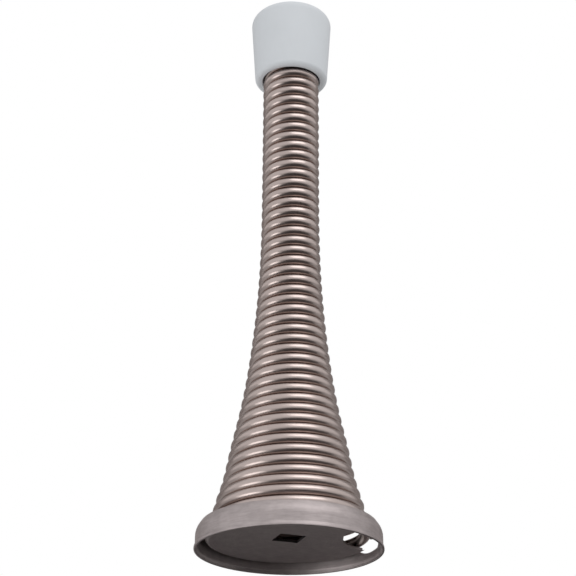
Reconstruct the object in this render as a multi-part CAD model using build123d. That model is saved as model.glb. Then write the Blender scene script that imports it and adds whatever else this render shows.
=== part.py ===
from build123d import *
from math import ceil, cos, radians, sin, tan
import os

# Baseboard door stop: a pressed steel base, a flared close-wound spring and a rubber tip.
# Millimetres. The origin is at the middle of the base's rim, and +Z runs along the stop to its tip.

# The whole stop
stop_length = 81.9

# Pressed base, measured to the outside of the sheet
rim_diameter = 24.6
sheet = 0.33
lip_step = 0.15
lip_height = 0.28
ridge_height = 3.52
ridge_width = 1.46
floor_height = 1.15
dome_rise = 0.6
fold_radius = 0.35
rim_edge_round = 0.08

# Square hole for the fixing screw's shank
square_hole = 3.5
square_hole_turn = 19.0
square_hole_corner = 0.15

# Opening beside the spring's last turn: a long hole in the floor and a notch across the ridge
floor_hole_width = 7.4
floor_hole_length = 9.2
floor_hole_shift = -0.7
floor_hole_headroom = 0.65
notch_start = 9.8
notch_span = 43.0
notch_sill = 1.27
notch_sill_run = 0.9051
notch_near_corner = 0.87

# Spring wire
wire_diameter = 1.5
turn_gap = 0.025
seat_gap = 0.05
neck_diameter = 8.2
flare_height = 46.0
foot_step = 0.45
wire_end_azimuth = -61.0
seated_turns = 0.17
lift_turns = 0.75
points_per_turn = 12

# Shape of the flare, from the foot to the neck: share of its height, share of its widening
flare_shape = [
    (0.0, 1.0), (0.032, 0.949), (0.095, 0.805), (0.19, 0.65), (0.31, 0.45),
    (0.505, 0.212), (0.7, 0.07), (0.88, 0.01), (1.0, 0.0),
]

# Rubber tip
tip_length = 11.0
tip_base_diameter = 10.55
tip_end_diameter = 12.0
tip_base_round = 0.6
tip_end_round = 1.4
socket_depth = 8.0
socket_clearance = 0.05
socket_mouth_round = 0.25
spring_end_gap = 0.1

# Sizes that follow from those above
rim_radius = rim_diameter / 2
wall_radius = rim_radius - lip_step
well_radius = wall_radius - ridge_width
floor_top = floor_height + sheet
dome_top = floor_top + dome_rise
wire_radius = wire_diameter / 2
pitch = wire_diameter + turn_gap
neck_radius = neck_diameter / 2 - wire_radius
tip_base = stop_length - tip_length


def floor_surface(radius):
    """Height of the floor's upper face at a radius, near the well's wall."""
    slope = dome_rise / (well_radius / 2)
    return floor_top + slope * (well_radius - radius)


def base_corners():
    """Corners of the sheet's outside face as (radius, height, bend), from the rim to the middle of the floor."""
    shoulder_run = 0.54 * ridge_width
    shoulder_drop = 1.42 * shoulder_run
    crest = ridge_width - shoulder_run
    half_well = well_radius / 2
    dome_bend = 0.9 * half_well / tan(dome_rise / half_well / 2)
    return [
        (rim_radius, 0, 0),
        (rim_radius, lip_height, 1.4 * sheet),
        (wall_radius, 2 * lip_height, 1.4 * sheet),
        (wall_radius, ridge_height - shoulder_drop, 2.7 * shoulder_run),
        (wall_radius - shoulder_run, ridge_height, 0.6 * crest),
        (well_radius, ridge_height, 0.6 * crest),
        (well_radius, floor_top, fold_radius),
        (half_well, dome_top, dome_bend),
        (0, dome_top, 0),
    ]


def parallel_face(corners, depth):
    """The same run of corners moved to its left by the depth, with each bend's radius to match."""
    points = [Vector(x, y) for x, y, bend in corners]
    legs = [(after - before).normalized() for before, after in zip(points, points[1:])]
    sides = [Vector(-leg.Y, leg.X) for leg in legs]
    moved = [points[0] + sides[0] * depth]
    bends = []
    for i in range(1, len(points) - 1):
        lean = sides[i - 1] + sides[i]
        moved.append(points[i] + lean * (depth / (1 + sides[i - 1].dot(sides[i]))))
        inside = legs[i - 1].cross(legs[i]).Z > 0
        bend = corners[i][2]
        bends.append(max(bend - depth, 0.1 * depth) if inside else bend + depth)
    moved.append(points[-1] + sides[-1] * depth)
    return FilletPolyline(*moved, radius=bends)


def make_base():
    """The pressed base: a wall, a ridge, a sunk well with a domed floor, and its punched holes."""
    corners = base_corners()
    outside = FilletPolyline(*[corner[:2] for corner in corners], radius=[bend for x, y, bend in corners[1:-1]])
    underside = parallel_face(corners, sheet)
    rim = Line(outside @ 0, underside @ 0)
    middle = Line(outside @ 1, underside @ 1)
    section = make_face([*outside.edges(), *underside.edges(), rim, middle])
    section = fillet(section.vertices().group_by(Axis.Y)[0], rim_edge_round)
    base = revolve(Plane.XZ * section, Axis.Z)
    return base - square_cutter() - floor_hole_cutter() - notch_cutter()


def square_cutter():
    """The square hole on the axis."""
    outline = RectangleRounded(square_hole, square_hole, square_hole_corner)
    return extrude(Rot(0, 0, square_hole_turn) * outline, ridge_height)


def floor_hole_cutter():
    """The long hole in the floor, which takes the foot of the well's wall with it."""
    outside = well_radius + 1.2 * sheet
    height = floor_top + floor_hole_headroom
    middle = Pos(well_radius, floor_hole_shift, 0) * Rot(0, 0, 90)
    column = extrude(middle * SlotOverall(floor_hole_length, floor_hole_width), height)
    return column & extrude(Circle(outside), height)


def notch_cutter():
    """The notch across the ridge, open at the top, with a tight and a wide lower corner."""
    inner = well_radius - sheet
    outer = rim_radius + sheet
    far_corner = inner * radians(notch_span) - notch_near_corner - notch_sill_run
    height = far_corner + ridge_height
    middle = Pos((inner + outer) / 2, notch_sill + height / 2)
    wedge = revolve(Plane.XZ * middle * Rectangle(outer - inner, height), Axis.Z, revolution_arc=notch_span)
    near_edge = wedge.edges().filter_by(GeomType.LINE).group_by(Axis.Z)[0].sort_by(Axis.Y)[0]
    wedge = fillet(near_edge, notch_near_corner)
    far_edge = wedge.edges().filter_by(GeomType.LINE).group_by(Axis.Z)[0].sort_by(Axis.Y)[-1]
    wedge = fillet(far_edge, far_corner)
    return Rot(0, 0, notch_start) * wedge


def flare_curve(foot_radius, foot_height):
    """The line that the wire's centre follows, from the foot of the close winding to the neck."""
    widening = foot_radius - neck_radius
    points = [
        (neck_radius + width * widening, 0, foot_height + share * flare_height)
        for share, width in flare_shape
    ]
    return Spline(*points)


def wire_path():
    """Centre line of the wire: a seated end turn, a lift, then turns that lie against each other."""
    seat_radius = well_radius - seat_gap - wire_radius
    seat_height = floor_surface(seat_radius) + wire_radius + seat_gap
    foot_radius = seat_radius - foot_step
    foot_height = seat_height + pitch
    flare = flare_curve(foot_radius, foot_height)
    top = tip_base + socket_depth - spring_end_gap - wire_radius
    neck_length = top - foot_height - flare_height
    start = seated_turns + lift_turns
    turns = start + (flare.length + neck_length) / pitch

    def centre(turn):
        if turn < seated_turns:
            return seat_radius, seat_height
        if turn < start:
            part = (turn - seated_turns) / lift_turns
            ease = part * part * (3 - 2 * part)
            lead = part * part * (part - 1) * lift_turns
            return seat_radius - foot_step * ease, seat_height + pitch * (ease + lead)
        run = (turn - start) * pitch
        if run < flare.length:
            point = flare.position_at(run, position_mode=PositionMode.LENGTH)
            return point.X, point.Z
        return neck_radius, foot_height + flare_height + run - flare.length

    steps = ceil(turns * points_per_turn)
    points = []
    for step in range(steps + 1):
        turn = turns * step / steps
        radius, height = centre(turn)
        azimuth = radians(wire_end_azimuth + 360 * turn)
        points.append((radius * cos(azimuth), radius * sin(azimuth), height))
    return Spline(*points)


def make_spring():
    """The spring: round wire swept along its centre line."""
    path = wire_path()
    section = Plane(origin=path @ 0, z_dir=path % 0) * Circle(wire_radius)
    return sweep(section, path=path, is_frenet=True)


def make_tip():
    """The rubber tip: a tapered cap with a blind socket for the spring's top turns."""
    base_radius = tip_base_diameter / 2
    end_radius = tip_end_diameter / 2
    outline = Polyline(
        (0, tip_base), (base_radius, tip_base), (end_radius, stop_length), (0, stop_length), close=True
    )
    section = make_face(outline.edges())
    corners = section.vertices().filter_by_position(Axis.X, base_radius / 2, end_radius).sort_by(Axis.Y)
    section = fillet(corners[0], tip_base_round)
    section = fillet(section.vertices().sort_by(Axis.X).sort_by(Axis.Y)[-1], tip_end_round)
    cap = revolve(Plane.XZ * section, Axis.Z)
    socket_radius = neck_diameter / 2 + socket_clearance
    socket = Pos(0, 0, tip_base) * extrude(Circle(socket_radius), socket_depth)
    cap = cap - socket
    mouth = cap.edges().filter_by(GeomType.CIRCLE).group_by(Axis.Z)[0].sort_by(SortBy.RADIUS)[0]
    return fillet(mouth, socket_mouth_round)


pieces = {
    "pressed_base": make_base(),
    "flared_spring": make_spring(),
    "rubber_tip": make_tip(),
}

os.makedirs("parts", exist_ok=True)
for name, piece in pieces.items():
    export_step(piece, f"parts/{name}.step")
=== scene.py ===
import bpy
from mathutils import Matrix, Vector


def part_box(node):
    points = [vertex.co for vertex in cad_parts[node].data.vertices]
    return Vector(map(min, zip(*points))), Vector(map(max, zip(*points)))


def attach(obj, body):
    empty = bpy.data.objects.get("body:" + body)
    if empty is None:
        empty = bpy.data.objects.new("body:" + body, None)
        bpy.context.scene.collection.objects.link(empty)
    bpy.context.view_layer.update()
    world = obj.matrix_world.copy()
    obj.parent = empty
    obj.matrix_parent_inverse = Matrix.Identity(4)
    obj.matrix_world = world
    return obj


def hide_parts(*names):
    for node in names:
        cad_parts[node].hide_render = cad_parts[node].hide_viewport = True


bl_info = {
    "name": "Baseboard Door Stop",
    "version": (1, 0, 0),
    "blender": (4, 5, 0),
    "location": "View3D > Sidebar > Door Stop",
    "description": "A flared spring door stop with a pressed base and a rubber tip",
    "category": "Add Mesh",
}

from math import ceil, cos, hypot, pi, radians, sin, tan

import bpy
import numpy as np
from bpy.props import FloatProperty, FloatVectorProperty, IntProperty, PointerProperty
from mathutils import Matrix, Vector

# Lengths are in metres. The origin is at the middle of the rim, and +Z runs along the stop to its tip.
MM = 0.001
TINY = 0.001 * MM

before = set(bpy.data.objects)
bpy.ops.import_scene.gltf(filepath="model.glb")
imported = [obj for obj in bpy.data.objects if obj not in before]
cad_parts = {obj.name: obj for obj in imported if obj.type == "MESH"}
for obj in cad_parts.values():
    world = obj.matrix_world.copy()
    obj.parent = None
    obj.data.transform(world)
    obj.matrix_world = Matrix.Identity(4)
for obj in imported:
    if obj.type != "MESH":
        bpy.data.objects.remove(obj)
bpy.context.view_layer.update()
base_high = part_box("pressed_base")[1]
spring_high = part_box("flared_spring")[1]
tip_low, tip_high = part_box("rubber_tip")


# Sizes and colours


def length(name, default, description):
    """A length, shown in the scene's unit."""
    return FloatProperty(name=name, default=default, description=description, unit="LENGTH", precision=5)


def angle(name, degrees, description):
    """An angle, given in degrees."""
    return FloatProperty(name=name, default=radians(degrees), description=description, subtype="ANGLE")


def turns(name, default, description):
    """A number of the wire's turns."""
    return FloatProperty(name=name, default=default, description=description)


def count(name, default, least, description):
    """A number of faces or rings, with the least that still makes a shape."""
    return IntProperty(name=name, default=default, min=least, description=description)


def colour(name, default, description):
    """A linear colour."""
    return FloatVectorProperty(
        name=name, default=default, description=description, subtype="COLOR", size=3, min=0.0, max=1.0
    )


class BaseSizes(bpy.types.PropertyGroup):
    """Sizes of the pressed base."""

    rim_radius: length("Rim radius", base_high.x, "Radius over the turned-out lip")
    sheet: length("Sheet", 0.33 * MM, "Thickness of the pressed sheet")
    lip_step: length("Lip step", 0.15 * MM, "How far the lip stands out from the wall")
    lip_height: length("Lip height", 0.28 * MM, "Height of the lip's straight edge")
    ridge_height: length("Ridge height", base_high.z, "Height of the ridge that the well is sunk in")
    ridge_width: length("Ridge width", 1.46 * MM, "Distance from the outer wall to the well's wall")
    floor_height: length("Floor height", 1.15 * MM, "Underside of the floor at its fold")
    dome_rise: length("Dome rise", 0.6 * MM, "Rise of the floor to its middle")
    fold_radius: length("Fold radius", 0.35 * MM, "Inside radius of the fold round the floor")
    rim_edge_round: length("Rim edge round", 0.08 * MM, "Rounding of the sheet's edge at the rim")
    square_hole: length("Square hole", 3.5 * MM, "Side of the square screw hole")
    square_turn: angle("Square turn", 19, "Turn of the square hole")
    floor_hole_width: length("Floor hole width", 7.4 * MM, "Width of the long hole in the floor")
    floor_hole_length: length("Floor hole length", 9.2 * MM, "Length of the long hole in the floor")
    floor_hole_shift: length("Floor hole shift", -0.7 * MM, "How far the hole's middle lies along Y")
    headroom: length("Headroom", 0.65 * MM, "How far the long hole cuts up the well's wall")
    notch_start: angle("Notch start", 9.8, "Where the notch across the ridge begins")
    notch_span: angle("Notch span", 43, "Angle that the notch spans")
    notch_sill: length("Notch sill", 1.27 * MM, "Height of the notch's lower edge")
    near_corner: length("Near corner", 0.87 * MM, "Radius of the notch's first lower corner")
    far_corner: length("Far corner", 6.0 * MM, "Radius of the notch's second lower corner")
    segments: count("Segments", 192, 24, "Faces round the base")


class SpringSizes(bpy.types.PropertyGroup):
    """Sizes of the flared spring."""

    wire: length("Wire", 1.5 * MM, "Diameter of the wire")
    turn_gap: length("Turn gap", 0.025 * MM, "Gap between two turns")
    seat_gap: length("Seat gap", 0.05 * MM, "Gap between the wire and the well")
    neck_diameter: length("Neck diameter", 8.2 * MM, "Outside diameter of the straight neck")
    flare_height: length("Flare height", 46 * MM, "Height over which the spring narrows")
    foot_step: length("Foot step", 0.45 * MM, "How far the first close turn stands in from the end turn")
    end_azimuth: angle("End azimuth", -61, "Where the wire's lower end lies")
    seated_turns: turns("Seated turns", 0.17, "Turns that lie flat in the well")
    lift_turns: turns("Lift turns", 0.75, "Turns that rise to the first close turn")
    rings_per_turn: count("Rings per turn", 60, 8, "Rings in each turn")
    wire_sides: count("Wire sides", 18, 6, "Faces round the wire")


class TipSizes(bpy.types.PropertyGroup):
    """Sizes of the rubber tip."""

    base_height: length("Base height", tip_low.z, "Height of the tip's lower lip")
    end_height: length("End height", tip_high.z, "Height of the tip's flat end")
    base_diameter: length("Base diameter", 10.55 * MM, "Diameter at the lower lip")
    end_diameter: length("End diameter", 12.0 * MM, "Diameter at the flat end")
    base_round: length("Base round", 0.6 * MM, "Rounding of the lower lip")
    end_round: length("End round", 1.4 * MM, "Rounding of the flat end")
    socket_depth: length("Socket depth", 8.0 * MM, "Depth of the blind socket")
    socket_clearance: length("Socket clearance", 0.05 * MM, "Gap round the spring")
    mouth_round: length("Mouth round", 0.25 * MM, "Rounding of the socket's mouth")
    segments: count("Segments", 160, 24, "Faces round the tip")


class StopFinish(bpy.types.PropertyGroup):
    """Colours of the stop and of its stage."""

    base_metal: colour("Base metal", (0.365, 0.324, 0.322), "Satin nickel of the base")
    spring_metal: colour("Spring metal", (0.43, 0.362, 0.342), "Satin nickel of the wire")
    # Painted shade: the brown that darkens the wire where two turns meet
    painted_turn_shade: colour("Painted turn shade", (0.4, 0.315, 0.28), "Brown of the wire where two turns meet")
    rubber: colour("Rubber", (0.67, 0.698, 0.732), "Pale grey rubber")
    floor: colour("Floor", (0.75, 0.75, 0.74), "Pale floor")
    under_card: colour("Under card", (0.073, 0.06, 0.062), "Dark card under the stop, for reflections")
    front_card: colour("Front card", (0.04, 0.034, 0.034), "Dark card before the stop, for reflections")
    back_card: colour("Back card", (0.45, 0.42, 0.41), "Grey card behind the stop, for reflections")


# Ways of working that the pieces share


def deselect_all():
    """Leaves no object selected."""
    bpy.ops.object.select_all(action="DESELECT")


def select_only(piece):
    """Selects this piece alone and makes it active."""
    deselect_all()
    piece.select_set(True)
    bpy.context.view_layer.objects.active = piece


def bend_points(before, corner, after, steps):
    """Points of the arc that rounds a corner (x, y, radius), with so many steps to a quarter turn."""
    here = Vector(corner[:2])
    radius = corner[2]
    if radius == 0:
        return [here]
    back = (Vector(before[:2]) - here).normalized()
    ahead = (Vector(after[:2]) - here).normalized()
    half = back.angle(ahead) / 2
    reach = radius / tan(half)
    centre = here + (back + ahead).normalized() * (radius / sin(half))
    start = here + back * reach - centre
    sweep = start.angle_signed(here + ahead * reach - centre)
    parts = max(2, ceil(steps * abs(sweep) / (pi / 2)))
    points = []
    for part in range(parts + 1):
        turned = start.copy()
        turned.rotate(Matrix.Rotation(-sweep * part / parts, 2))
        points.append(centre + turned)
    return points


def round_corners(corners, steps=8):
    """Points along a run of corners, each rounded by its radius, between two plain ends."""
    points = [Vector(corners[0][:2])]
    for before, corner, after in zip(corners, corners[1:], corners[2:]):
        points += bend_points(before, corner, after, steps)
    points.append(Vector(corners[-1][:2]))
    return [(point.x, point.y) for point in points]


def revolve_outline(name, outline, segments):
    """A round shell: a ring is extruded through each (radius, height), and closed on the axis."""
    deselect_all()
    radius, height = outline[0]
    bpy.ops.mesh.primitive_circle_add(vertices=segments, radius=radius, location=(0, 0, height))
    piece = bpy.context.active_object
    piece.name = name
    bpy.ops.object.transform_apply(location=True, rotation=True, scale=True)
    bpy.ops.object.mode_set(mode="EDIT")
    bpy.ops.mesh.select_all(action="SELECT")
    for next_radius, next_height in outline[1:]:
        rise = (0, 0, next_height - height)
        bpy.ops.mesh.extrude_edges_move(TRANSFORM_OT_translate={"value": rise})
        if next_radius == 0:
            bpy.ops.mesh.merge(type="CENTER")
            break
        grow = next_radius / radius
        bpy.ops.transform.resize(value=(grow, grow, 1), center_override=(0, 0, 0))
        radius, height = next_radius, next_height
    face_outwards()
    return piece


def face_outwards():
    """Points all faces of the edited piece outwards, and leaves edit mode."""
    bpy.ops.mesh.select_all(action="SELECT")
    bpy.ops.mesh.normals_make_consistent(inside=False)
    bpy.ops.object.mode_set(mode="OBJECT")


def select_vertices(piece, test):
    """Selects the vertices that pass the test, and leaves the piece in edit mode."""
    bpy.ops.object.mode_set(mode="EDIT")
    bpy.ops.mesh.select_mode(type="VERT")
    bpy.ops.mesh.select_all(action="DESELECT")
    bpy.ops.object.mode_set(mode="OBJECT")
    for vertex in piece.data.vertices:
        vertex.select = test(vertex)
    bpy.ops.object.mode_set(mode="EDIT")


def smooth(piece, sharpest=30):
    """Smooth shading, apart from edges sharper than this angle in degrees."""
    select_only(piece)
    bpy.ops.object.shade_smooth_by_angle(angle=radians(sharpest))


def apply_modifier(piece, kind, **values):
    """Gives the piece a modifier with these values and applies it."""
    select_only(piece)
    modifier = piece.modifiers.new(kind.title(), kind)
    for key, value in values.items():
        setattr(modifier, key, value)
    bpy.ops.object.modifier_apply(modifier=modifier.name)


def combine(piece, other, operation="DIFFERENCE"):
    """Cuts the piece with another or keeps what they share, and removes the other."""
    apply_modifier(piece, "BOOLEAN", object=other, operation=operation, solver="EXACT")
    bpy.data.objects.remove(other)


def add_cylinder(radius, depth, middle, sides):
    """An upright cylinder."""
    deselect_all()
    bpy.ops.mesh.primitive_cylinder_add(vertices=sides, radius=radius, depth=depth, location=middle)
    return bpy.context.active_object


# The pressed base


def well_radius(sizes):
    """Radius of the well's wall."""
    return sizes.rim_radius - sizes.lip_step - sizes.ridge_width


def floor_top(sizes):
    """Height of the floor's upper face at its fold."""
    return sizes.floor_height + sizes.sheet


def base_outline(sizes):
    """The base's outside face, from the rim over the ridge to the middle of the floor."""
    wall = sizes.rim_radius - sizes.lip_step
    well = well_radius(sizes)
    shoulder_run = 0.54 * sizes.ridge_width
    shoulder_drop = 1.42 * shoulder_run
    crest = sizes.ridge_width - shoulder_run
    dome_top = floor_top(sizes) + sizes.dome_rise
    dome_turn = sizes.dome_rise / (well / 2)
    lip_bend = 1.4 * sizes.sheet
    shoulder_bend = 2.7 * shoulder_run
    crest_bend = 0.6 * crest
    dome_bend = 0.9 * well / 2 / tan(dome_turn / 2)
    return round_corners([
        (sizes.rim_radius, 0, 0),
        (sizes.rim_radius, sizes.lip_height, lip_bend),
        (wall, 2 * sizes.lip_height, lip_bend),
        (wall, sizes.ridge_height - shoulder_drop, shoulder_bend),
        (wall - shoulder_run, sizes.ridge_height, crest_bend),
        (well, sizes.ridge_height, crest_bend),
        (well, floor_top(sizes), sizes.fold_radius),
        (well / 2, dome_top, dome_bend),
        (0, dome_top, 0),
    ])


def make_square_cutter(sizes):
    """A square bar on the axis."""
    deselect_all()
    middle = (0, 0, sizes.ridge_height / 2)
    bpy.ops.mesh.primitive_cube_add(size=1, location=middle, rotation=(0, 0, sizes.square_turn))
    bar = bpy.context.active_object
    bar.scale = (sizes.square_hole, sizes.square_hole, 2 * sizes.ridge_height)
    bpy.ops.object.transform_apply(location=True, rotation=True, scale=True)
    return bar


def make_floor_hole_cutter(sizes):
    """A long column through the floor, which ends at the far face of the well's wall."""
    sides = 96
    well = well_radius(sizes)
    top = floor_top(sizes) + sizes.headroom
    stretch = sizes.floor_hole_length - sizes.floor_hole_width
    middle = sizes.floor_hole_shift + stretch / 2
    column = add_cylinder(sizes.floor_hole_width / 2, top, (well, middle, top / 2), sides)
    bpy.ops.object.transform_apply(location=True, rotation=True, scale=True)
    select_vertices(column, lambda vertex: vertex.co.y < middle - TINY)
    bpy.ops.transform.translate(value=(0, -stretch, 0))
    bpy.ops.object.mode_set(mode="OBJECT")
    limit = add_cylinder(well + 1.2 * sizes.sheet, 3 * top, (0, 0, top / 2), sizes.segments)
    combine(column, limit, "INTERSECT")
    return column


def corner_lift(reach, radius):
    """Height over the sill of a round corner, at a reach from the notch's end."""
    if reach >= radius:
        return 0.0
    return radius - (radius**2 - (radius - reach) ** 2) ** 0.5


def make_notch_cutter(sizes):
    """A wedge across the ridge: a strip along the notch's lower edge, drawn out from inside the wall."""
    steps = 60
    crowding = 1.5  # above 1, it brings the steps closer together at the tight near corner
    inner = well_radius(sizes) - sizes.sheet
    outer = sizes.rim_radius + sizes.sheet
    top = sizes.notch_sill + sizes.far_corner + sizes.ridge_height
    deselect_all()
    bpy.ops.mesh.primitive_grid_add(x_subdivisions=steps, y_subdivisions=1, size=1, location=(0, 0, 0))
    wedge = bpy.context.active_object
    for vertex in wedge.data.vertices:
        share = vertex.co.x + 0.5
        turn = sizes.notch_span * share**crowding
        near = corner_lift(outer * sin(turn), sizes.near_corner)
        far = corner_lift(outer * sin(sizes.notch_span - turn), sizes.far_corner)
        height = top if vertex.co.y > 0 else sizes.notch_sill + max(near, far)
        azimuth = sizes.notch_start + turn
        vertex.co = (inner * cos(azimuth), inner * sin(azimuth), height)
    bpy.ops.object.mode_set(mode="EDIT")
    bpy.ops.mesh.select_all(action="SELECT")
    bpy.ops.mesh.extrude_region_move()
    grow = outer / inner
    bpy.ops.transform.resize(value=(grow, grow, 1), center_override=(0, 0, 0))
    face_outwards()
    return wedge


def round_rim_edge(base, sizes):
    """Rounds both edges of the sheet at the rim."""
    select_vertices(base, lambda vertex: vertex.co.z < TINY)
    bpy.ops.mesh.select_mode(type="FACE")
    bpy.ops.mesh.region_to_loop()
    bpy.ops.mesh.bevel(offset=sizes.rim_edge_round, segments=3, affect="EDGES")
    bpy.ops.mesh.select_mode(type="VERT")
    bpy.ops.object.mode_set(mode="OBJECT")


def make_base(sizes):
    """The pressed base, revolved, given its thickness, eased at its rim and punched."""
    base = revolve_outline("base_shell", base_outline(sizes), sizes.segments)
    apply_modifier(
        base, "SOLIDIFY", thickness=sizes.sheet, offset=-1, use_even_offset=True, use_quality_normals=True
    )
    round_rim_edge(base, sizes)
    combine(base, make_square_cutter(sizes))
    combine(base, make_floor_hole_cutter(sizes))
    combine(base, make_notch_cutter(sizes))
    smooth(base)
    return base


# The flared spring

# Shape of the flare, from the foot to the neck: share of its height, share of its widening
FLARE_SHAPE = [
    (0.0, 1.0), (0.032, 0.949), (0.095, 0.805), (0.19, 0.65), (0.31, 0.45),
    (0.505, 0.212), (0.7, 0.07), (0.88, 0.01), (1.0, 0.0),
]
FLARE_POINTS = 2000


def leg_lengths(points):
    """Length of each leg of a run of points."""
    return np.hypot(*np.diff(points, axis=0).T)


def distances(legs):
    """Distance from the start at each point of a run with these legs."""
    return np.concatenate([[0], np.cumsum(legs)])


def smooth_line(stations, points):
    """A natural cubic spline through the stations, as so many points evenly spread in its parameter."""
    stations = np.array(stations)
    legs = leg_lengths(stations)
    at = distances(legs)
    size = len(at)
    matrix = np.eye(size)
    right_side = np.zeros((size, 2))
    for i in range(1, size - 1):
        before, after = legs[i - 1], legs[i]
        matrix[i, i - 1 : i + 2] = before, 2 * (before + after), after
        change = (stations[i + 1] - stations[i]) / after - (stations[i] - stations[i - 1]) / before
        right_side[i] = 6 * change
    bend = np.linalg.solve(matrix, right_side)
    t = np.linspace(0, at[-1], points)
    i = np.clip(np.searchsorted(at, t) - 1, 0, size - 2)
    leg = legs[i][:, None]
    ahead = (t - at[i])[:, None]
    left = leg - ahead
    line = (bend[i] * left**3 + bend[i + 1] * ahead**3) / (6 * leg)
    line += (stations[i] / leg - bend[i] * leg / 6) * left
    line += (stations[i + 1] / leg - bend[i + 1] * leg / 6) * ahead
    return line


def seated_place(base, spring):
    """Radius and height of the wire's centre where its end turn lies in the well."""
    wire_radius = spring.wire / 2
    well = well_radius(base)
    radius = well - spring.seat_gap - wire_radius
    slope = base.dome_rise / (well / 2)
    floor = floor_top(base) + slope * (well - radius)
    return radius, floor + wire_radius + spring.seat_gap


def winding_line(spring, foot_radius, foot_height):
    """The line that the close turns follow, as (radius, height): up the flare and the straight neck."""
    wire_radius = spring.wire / 2
    neck_radius = spring.neck_diameter / 2 - wire_radius
    widening = foot_radius - neck_radius
    stations = [
        (neck_radius + width * widening, foot_height + share * spring.flare_height)
        for share, width in FLARE_SHAPE
    ]
    top = float(spring_high.z) - wire_radius
    return np.vstack([smooth_line(stations, FLARE_POINTS), [(neck_radius, top)]])


def wire_centres(base, spring):
    """Radius, height and turn of each ring's centre, from the wire's lower end to its top."""
    pitch = spring.wire + spring.turn_gap
    seat_radius, seat_height = seated_place(base, spring)
    line = winding_line(spring, seat_radius - spring.foot_step, seat_height + pitch)
    run = distances(leg_lengths(line))
    start = spring.seated_turns + spring.lift_turns
    all_turns = start + run[-1] / pitch
    rings = ceil(all_turns * spring.rings_per_turn)
    turn = all_turns * np.arange(rings + 1) / rings
    part = np.clip((turn - spring.seated_turns) / spring.lift_turns, 0, 1)
    ease = part * part * (3 - 2 * part)
    lead = part * part * (part - 1) * spring.lift_turns
    along = np.clip((turn - start) * pitch, 0, run[-1])
    rising = turn < start
    radius = np.where(rising, seat_radius - spring.foot_step * ease, np.interp(along, run, line[:, 0]))
    height = np.where(rising, seat_height + pitch * (ease + lead), np.interp(along, run, line[:, 1]))
    return radius, height, turn


def add_wire_map(wire, sides, radius, turn):
    """A UV map that runs round the wire in u and along it, in metres, in v."""
    along = distances(np.diff(turn) * 2 * pi * (radius[1:] + radius[:-1]) / 2)
    corners = np.zeros(len(wire.data.loops), int)
    wire.data.loops.foreach_get("vertex_index", corners)
    ring = corners // (sides + 1)
    side = corners % (sides + 1)
    layer = wire.data.uv_layers.new(name="along_wire")
    layer.data.foreach_set("uv", np.stack([side / sides, along[ring]], axis=-1).ravel())


def roll_wire(wire, spring, radius, height, turn):
    """Rolls each row of the sheet into a ring round its centre."""
    round_wire = 2 * pi * np.arange(spring.wire_sides + 1) / spring.wire_sides
    reach = radius[:, None] + spring.wire / 2 * np.cos(round_wire)
    rise = height[:, None] + spring.wire / 2 * np.sin(round_wire)
    azimuth = (spring.end_azimuth + 2 * pi * turn)[:, None]
    places = np.stack([reach * np.cos(azimuth), reach * np.sin(azimuth), rise], axis=-1)
    wire.data.vertices.foreach_set("co", places.ravel())
    wire.data.update()


def close_wire():
    """Joins the rolled sheet's long edges, fills the two cut ends, and points all faces outwards."""
    bpy.ops.object.mode_set(mode="EDIT")
    bpy.ops.mesh.select_all(action="SELECT")
    bpy.ops.mesh.remove_doubles(threshold=TINY)
    bpy.ops.mesh.fill_holes(sides=0)
    face_outwards()


def make_spring(base, spring):
    """The spring: a sheet of faces, with one row to each ring, is rolled round the wire's centre line."""
    radius, height, turn = wire_centres(base, spring)
    sides = spring.wire_sides
    deselect_all()
    bpy.ops.mesh.primitive_grid_add(
        x_subdivisions=sides, y_subdivisions=len(turn) - 1, size=1, calc_uvs=False, location=(0, 0, 0)
    )
    wire = bpy.context.active_object
    wire.name = "spring_wire"
    add_wire_map(wire, sides, radius, turn)
    roll_wire(wire, spring, radius, height, turn)
    close_wire()
    smooth(wire, 40)
    return wire


# The rubber tip


def close_end(tip, height, ring):
    """Merges the small ring in the middle of the flat end, of this radius, to a point."""

    def on_ring(vertex):
        return vertex.co.z > height - ring and hypot(vertex.co.x, vertex.co.y) < 2 * ring

    select_vertices(tip, on_ring)
    bpy.ops.mesh.merge(type="CENTER")
    bpy.ops.object.mode_set(mode="OBJECT")


def make_tip(spring, sizes):
    """The rubber tip: its outline runs from the flat end over the lip and up into the blind socket."""
    ring = 0.02 * MM
    socket = spring.neck_diameter / 2 + sizes.socket_clearance
    roof = sizes.base_height + sizes.socket_depth
    corners = [
        (ring, sizes.end_height, 0),
        (sizes.end_diameter / 2, sizes.end_height, sizes.end_round),
        (sizes.base_diameter / 2, sizes.base_height, sizes.base_round),
        (socket, sizes.base_height, sizes.mouth_round),
        (socket, roof, 0),
        (0, roof, 0),
    ]
    tip = revolve_outline("tip_cap", round_corners(corners, steps=12), sizes.segments)
    close_end(tip, sizes.end_height, ring)
    smooth(tip)
    return tip


# Materials


def feed(tree, node, values):
    """Gives a node's inputs their values, as (input, value) pairs. A value that is an output is linked."""
    for key, value in values:
        if isinstance(value, bpy.types.NodeSocket):
            tree.links.new(value, node.inputs[key])
        else:
            node.inputs[key].default_value = value


def add_node(tree, kind, values=(), **choices):
    """A shader node with its choices and its inputs' values."""
    node = tree.nodes.new(kind)
    for key, value in choices.items():
        setattr(node, key, value)
    feed(tree, node, values)
    return node


def maths(tree, operation, first, second=0.0):
    """The output of a Math node."""
    return add_node(tree, "ShaderNodeMath", ((0, first), (1, second)), operation=operation).outputs[0]


def scaled_range(tree, value, low, high, start=0.0):
    """A value between the start and 1, brought to run from low to high."""
    limits = (("Value", value), ("From Min", start), ("To Min", low), ("To Max", high))
    return add_node(tree, "ShaderNodeMapRange", limits).outputs[0]


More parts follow.
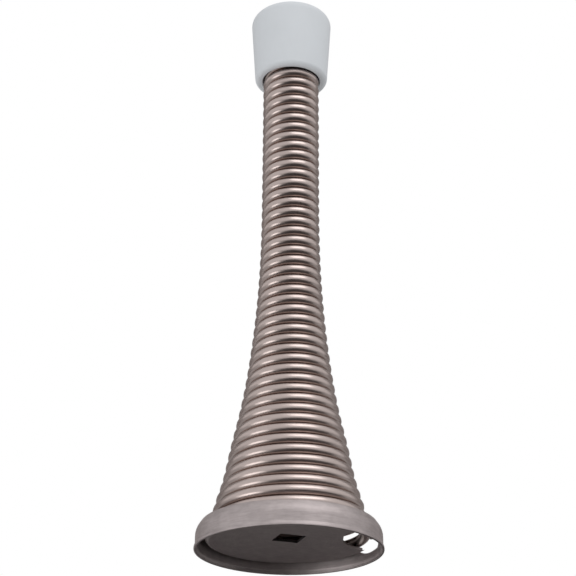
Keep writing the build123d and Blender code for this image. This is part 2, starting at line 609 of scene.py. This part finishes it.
def noise(tree, vector, scale, detail=3.0, roughness=0.55):
    """The factor of a Noise Texture."""
    values = (("Vector", vector), ("Scale", scale), ("Detail", detail), ("Roughness", roughness))
    return add_node(tree, "ShaderNodeTexNoise", values).outputs[0]


def shade(paint, factor=1.0):
    """A colour made lighter or darker, with its alpha."""
    return (*[min(1.0, part * factor) for part in paint], 1.0)


def mixed(tree, amount, first, second):
    """The first colour turned into the second by an amount."""
    factor, first_colour, second_colour, result = 0, 6, 7, 2
    values = ((factor, amount), (first_colour, first), (second_colour, second))
    return add_node(tree, "ShaderNodeMix", values, data_type="RGBA").outputs[result]


def relief(tree, height, strength, distance):
    """The normal of a Bump node."""
    values = (("Strength", strength), ("Distance", distance), ("Height", height))
    return add_node(tree, "ShaderNodeBump", values).outputs[0]


def coordinate(tree, kind="Object"):
    """A place on the piece, or another of the Texture Coordinate node's outputs."""
    return add_node(tree, "ShaderNodeTexCoord").outputs[kind]


def separated(tree, vector):
    """The three parts of a vector."""
    return add_node(tree, "ShaderNodeSeparateXYZ", ((0, vector),)).outputs


def ring_vector(tree, cosine, sine, run, around, along):
    """A noise's vector that goes round with an angle and on with a run, with no seam."""
    values = (
        (0, maths(tree, "MULTIPLY", cosine, around)),
        (1, maths(tree, "MULTIPLY", sine, around)),
        (2, maths(tree, "MULTIPLY", run, along)),
    )
    return add_node(tree, "ShaderNodeCombineXYZ", values).outputs[0]


def brushed_vector(tree, place):
    """A noise's vector for the rings that a turned brush leaves: slow round the axis, fast across it."""
    least_radius = 0.1 * MM
    x, y, z = separated(tree, place)
    square = maths(tree, "ADD", maths(tree, "MULTIPLY", x, x), maths(tree, "MULTIPLY", y, y))
    radius = maths(tree, "MAXIMUM", maths(tree, "SQRT", square), least_radius)
    cosine = maths(tree, "DIVIDE", x, radius)
    sine = maths(tree, "DIVIDE", y, radius)
    return ring_vector(tree, cosine, sine, maths(tree, "ADD", radius, z), around=4.0, along=3200.0)


def hole_face_shade(tree, place):
    """1 on the cut faces of the square hole, which get painted shade, and 0 elsewhere."""
    hole_reach = 3 * MM
    steepest_floor = 0.6
    x, y, _ = separated(tree, place)
    upright = separated(tree, coordinate(tree, "Normal"))[2]
    reach = maths(tree, "MAXIMUM", maths(tree, "ABSOLUTE", x), maths(tree, "ABSOLUTE", y))
    near = maths(tree, "LESS_THAN", reach, hole_reach)
    steep = maths(tree, "LESS_THAN", maths(tree, "ABSOLUTE", upright), steepest_floor)
    return maths(tree, "MULTIPLY", near, steep)


def new_material(name):
    """A material with its tree and its shader."""
    material = bpy.data.materials.new(name)
    material.use_nodes = True
    return material, material.node_tree, material.node_tree.nodes["Principled BSDF"]


def base_material(metal):
    """Satin nickel on pressed sheet: fine rings from brushing, a soft mottle, and painted shade on the
    square hole's cut faces.
    """
    material, tree, shader = new_material("satin_nickel_sheet")
    place = coordinate(tree)
    brushing = noise(tree, brushed_vector(tree, place), scale=1.6, detail=2.0)
    mottle = noise(tree, place, scale=700.0, detail=4.0, roughness=0.6)
    uneven = maths(tree, "MULTIPLY", maths(tree, "ADD", brushing, mottle), 0.5)
    patchy = scaled_range(tree, uneven, low=-0.9, high=1.9)
    plating = mixed(tree, patchy, shade(metal, 0.84), shade(metal, 1.18))
    feed(tree, shader, (
        # Painted shade: the square hole's cut faces are darkened to a quarter of the metal's colour
        ("Base Color", mixed(tree, hole_face_shade(tree, place), plating, shade(metal, 0.25))),
        ("Roughness", scaled_range(tree, uneven, low=0.46, high=0.62)),
        ("Metallic", 1.0),
        ("Normal", relief(tree, uneven, strength=0.08, distance=0.04 * MM)),
    ))
    return material


def spring_material(metal, painted_turn_shade):
    """Satin nickel on drawn wire: lines along the wire, and painted brown shade where two turns meet."""
    material, tree, shader = new_material("satin_nickel_wire")
    u, v, _ = separated(tree, add_node(tree, "ShaderNodeUVMap", uv_map="along_wire").outputs[0])
    round_wire = maths(tree, "MULTIPLY", u, 2 * pi)
    cosine = maths(tree, "COSINE", round_wire)
    sine = maths(tree, "SINE", round_wire)
    drawn = noise(tree, ring_vector(tree, cosine, sine, v, around=6.0, along=60.0), scale=1.5, detail=3.0)
    mottle = noise(tree, coordinate(tree), scale=260.0, detail=3.0, roughness=0.6)
    plating = mixed(tree, mottle, shade(metal, 0.88), shade(metal, 1.1))
    # Painted shade: the wire's top and bottom, where it meets the next turn, turn brown and dark
    crevice_shade = scaled_range(tree, maths(tree, "ABSOLUTE", sine), low=0.0, high=1.0, start=0.75)
    feed(tree, shader, (
        ("Base Color", mixed(tree, crevice_shade, plating, shade(painted_turn_shade))),
        ("Roughness", scaled_range(tree, drawn, low=0.24, high=0.35)),
        ("Metallic", 1.0),
        ("Normal", relief(tree, drawn, strength=0.05, distance=0.02 * MM)),
    ))
    return material


def rubber_material(rubber):
    """Matt rubber with a faint mould texture and a soft unevenness of colour."""
    material, tree, shader = new_material("pale_rubber")
    place = coordinate(tree)
    cloud = noise(tree, place, scale=220.0, detail=3.0)
    grain = noise(tree, place, scale=9000.0, detail=2.0)
    feed(tree, shader, (
        ("Base Color", mixed(tree, cloud, shade(rubber, 0.96), shade(rubber, 1.03))),
        ("Roughness", scaled_range(tree, grain, low=0.5, high=0.62)),
        ("Specular IOR Level", 0.35),
        ("Normal", relief(tree, grain, strength=0.12, distance=0.03 * MM)),
    ))
    return material


def floor_material(paint):
    """A matt floor with a faint cloud in its colour."""
    material, tree, shader = new_material("pale_floor")
    cloud = noise(tree, coordinate(tree), scale=12.0, detail=2.0)
    feed(tree, shader, (
        ("Base Color", mixed(tree, cloud, shade(paint, 0.98), shade(paint, 1.02))),
        ("Roughness", 0.7),
    ))
    return material


def card_material(name, paint):
    """Plain matt card."""
    material, tree, shader = new_material(name)
    feed(tree, shader, (("Base Color", shade(paint)), ("Roughness", 0.9)))
    return material


def dress(piece, material, node):
    """Gives the piece its material and its body, and hides the CAD node that it stands for."""
    piece.data.materials.clear()
    piece.data.materials.append(material)
    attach(piece, "root")
    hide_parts(node)


# The stage

FLOOR_SIZE = 6
FLOOR_HEIGHT = -0.12

# Name, middle, turn about X, and width and depth of each card. Its colour has the same name.
CARDS = (
    ("under_card", (0.08, 0.435, -0.11), 0, (0.24, 0.83)),
    ("front_card", (0.16, -0.68, -0.11), 0, (0.6, 1.4)),
    ("back_card", (0, 0.6, 0.4), pi / 2, (2.4, 1.6)),
)

# Name, place, side and power in watts of each lamp, and the point that all of them face
LAMPS = (
    ("key_lamp", (0.34, -0.5, 0.72), 0.7, 3.0),
    ("low_lamp", (-0.22, -0.126, -0.09), 0.16, 0.2),
)
LAMP_TARGET = (0, 0, 0.04)

CAMERA_PLACE = (-0.304 * MM, -193.47 * MM, -52.24 * MM)
CAMERA_TILT = radians(114.85)
CAMERA_ROLL = radians(0.30)
CAMERA_LENS = 95.875
CAMERA_SENSOR = 36.0
CAMERA_NEAR = 0.01


def make_world():
    """A white studio for what the camera, metal and glass see, and an even grey light on all else."""
    grey, white = 0.62, 1.0
    world = bpy.data.worlds.new("studio")
    bpy.context.scene.world = world
    world.use_nodes = True
    tree = world.node_tree
    tree.nodes.clear()
    path = add_node(tree, "ShaderNodeLightPath").outputs
    seen = maths(tree, "MAXIMUM", path["Is Camera Ray"], path["Is Glossy Ray"])
    seen = maths(tree, "MAXIMUM", seen, path["Is Transmission Ray"])
    light = (("Color", shade((1, 1, 1))), ("Strength", scaled_range(tree, seen, grey, white)))
    back = add_node(tree, "ShaderNodeBackground", light)
    add_node(tree, "ShaderNodeOutputWorld", ((0, back.outputs[0]),))


def add_plane(name, size, material):
    """A square plane on the origin."""
    deselect_all()
    bpy.ops.mesh.primitive_plane_add(size=size, location=(0, 0, 0))
    plane = bpy.context.active_object
    plane.name = name
    plane.data.materials.append(material)
    return plane


def add_floor(paint):
    """A wide pale floor, below the camera."""
    floor = add_plane("studio_floor", FLOOR_SIZE, floor_material(paint))
    floor.data.transform(Matrix.Translation((0, 0, FLOOR_HEIGHT)))


def add_card(name, middle, turn, size, paint):
    """A card that only reflections see, so that the metal gets its bright and dark bands."""
    card = add_plane(name, 1, card_material(name, paint))
    card.data.transform(Matrix.Diagonal((*size, 1, 1)))
    card.data.transform(Matrix.Rotation(turn, 4, "X"))
    card.data.transform(Matrix.Translation(middle))
    card.visible_camera = False
    card.visible_diffuse = False
    card.visible_shadow = False


def add_lamp(name, place, size, power):
    """A soft square lamp that faces the stop."""
    deselect_all()
    bpy.ops.object.light_add(type="AREA", location=place)
    lamp = bpy.context.active_object
    lamp.name = name
    lamp.data.shape = "SQUARE"
    lamp.data.size = size
    lamp.data.energy = power
    aim = Vector(LAMP_TARGET) - Vector(place)
    lamp.rotation_euler = aim.to_track_quat("-Z", "Y").to_euler()
    lamp.visible_camera = False


def add_camera():
    """The camera, below the base and looking up along the stop."""
    deselect_all()
    bpy.ops.object.camera_add(location=CAMERA_PLACE)
    camera = bpy.context.active_object
    camera.name = "photo_camera"
    camera.data.lens = CAMERA_LENS
    camera.data.sensor_width = CAMERA_SENSOR
    camera.data.clip_start = CAMERA_NEAR
    turned = Matrix.Rotation(CAMERA_TILT, 3, "X") @ Matrix.Rotation(CAMERA_ROLL, 3, "Z")
    camera.rotation_euler = turned.to_euler()
    bpy.context.scene.camera = camera


# The add-on's operators and its panel


class DOORSTOP_OT_base(bpy.types.Operator):
    """Add the pressed base"""

    bl_idname = "doorstop.add_base"
    bl_label = "Pressed Base"

    def execute(self, context):
        scene = context.scene
        base = make_base(scene.stop_base)
        dress(base, base_material(scene.stop_finish.base_metal), "pressed_base")
        return {"FINISHED"}


class DOORSTOP_OT_spring(bpy.types.Operator):
    """Add the flared spring"""

    bl_idname = "doorstop.add_spring"
    bl_label = "Flared Spring"

    def execute(self, context):
        scene = context.scene
        finish = scene.stop_finish
        wire = make_spring(scene.stop_base, scene.stop_spring)
        dress(wire, spring_material(finish.spring_metal, finish.painted_turn_shade), "flared_spring")
        return {"FINISHED"}


class DOORSTOP_OT_tip(bpy.types.Operator):
    """Add the rubber tip"""

    bl_idname = "doorstop.add_tip"
    bl_label = "Rubber Tip"

    def execute(self, context):
        scene = context.scene
        tip = make_tip(scene.stop_spring, scene.stop_tip)
        dress(tip, rubber_material(scene.stop_finish.rubber), "rubber_tip")
        return {"FINISHED"}


class DOORSTOP_OT_stage(bpy.types.Operator):
    """Add the floor, the cards, the lamps and the camera"""

    bl_idname = "doorstop.add_stage"
    bl_label = "Stage"

    def execute(self, context):
        scene = context.scene
        finish = scene.stop_finish
        scene.view_settings.view_transform = "Standard"
        make_world()
        add_floor(finish.floor)
        for name, middle, turn, size in CARDS:
            add_card(name, middle, turn, size, getattr(finish, name))
        for name, place, size, power in LAMPS:
            add_lamp(name, place, size, power)
        add_camera()
        return {"FINISHED"}


class DOORSTOP_PT_build(bpy.types.Panel):
    """The door stop's panel in the sidebar"""

    bl_label = "Baseboard Door Stop"
    bl_idname = "DOORSTOP_PT_build"
    bl_space_type = "VIEW_3D"
    bl_region_type = "UI"
    bl_category = "Door Stop"

    def draw(self, context):
        scene = context.scene
        for group, operator in (
            (scene.stop_base, "doorstop.add_base"),
            (scene.stop_spring, "doorstop.add_spring"),
            (scene.stop_tip, "doorstop.add_tip"),
            (scene.stop_finish, "doorstop.add_stage"),
        ):
            box = self.layout.box()
            box.operator(operator)
            for key in type(group).__annotations__:
                box.prop(group, key)


GROUPS = {
    "stop_base": BaseSizes,
    "stop_spring": SpringSizes,
    "stop_tip": TipSizes,
    "stop_finish": StopFinish,
}
OTHER_CLASSES = (
    DOORSTOP_OT_base,
    DOORSTOP_OT_spring,
    DOORSTOP_OT_tip,
    DOORSTOP_OT_stage,
    DOORSTOP_PT_build,
)


def register():
    for name, group in GROUPS.items():
        bpy.utils.register_class(group)
        setattr(bpy.types.Scene, name, PointerProperty(type=group))
    for cls in OTHER_CLASSES:
        bpy.utils.register_class(cls)


def unregister():
    for cls in reversed(OTHER_CLASSES):
        bpy.utils.unregister_class(cls)
    for name, group in GROUPS.items():
        delattr(bpy.types.Scene, name)
        bpy.utils.unregister_class(group)


def main():
    """Builds the stop and its stage."""
    register()
    bpy.ops.doorstop.add_base()
    bpy.ops.doorstop.add_spring()
    bpy.ops.doorstop.add_tip()
    bpy.ops.doorstop.add_stage()


if __name__ == "__main__":
    main()
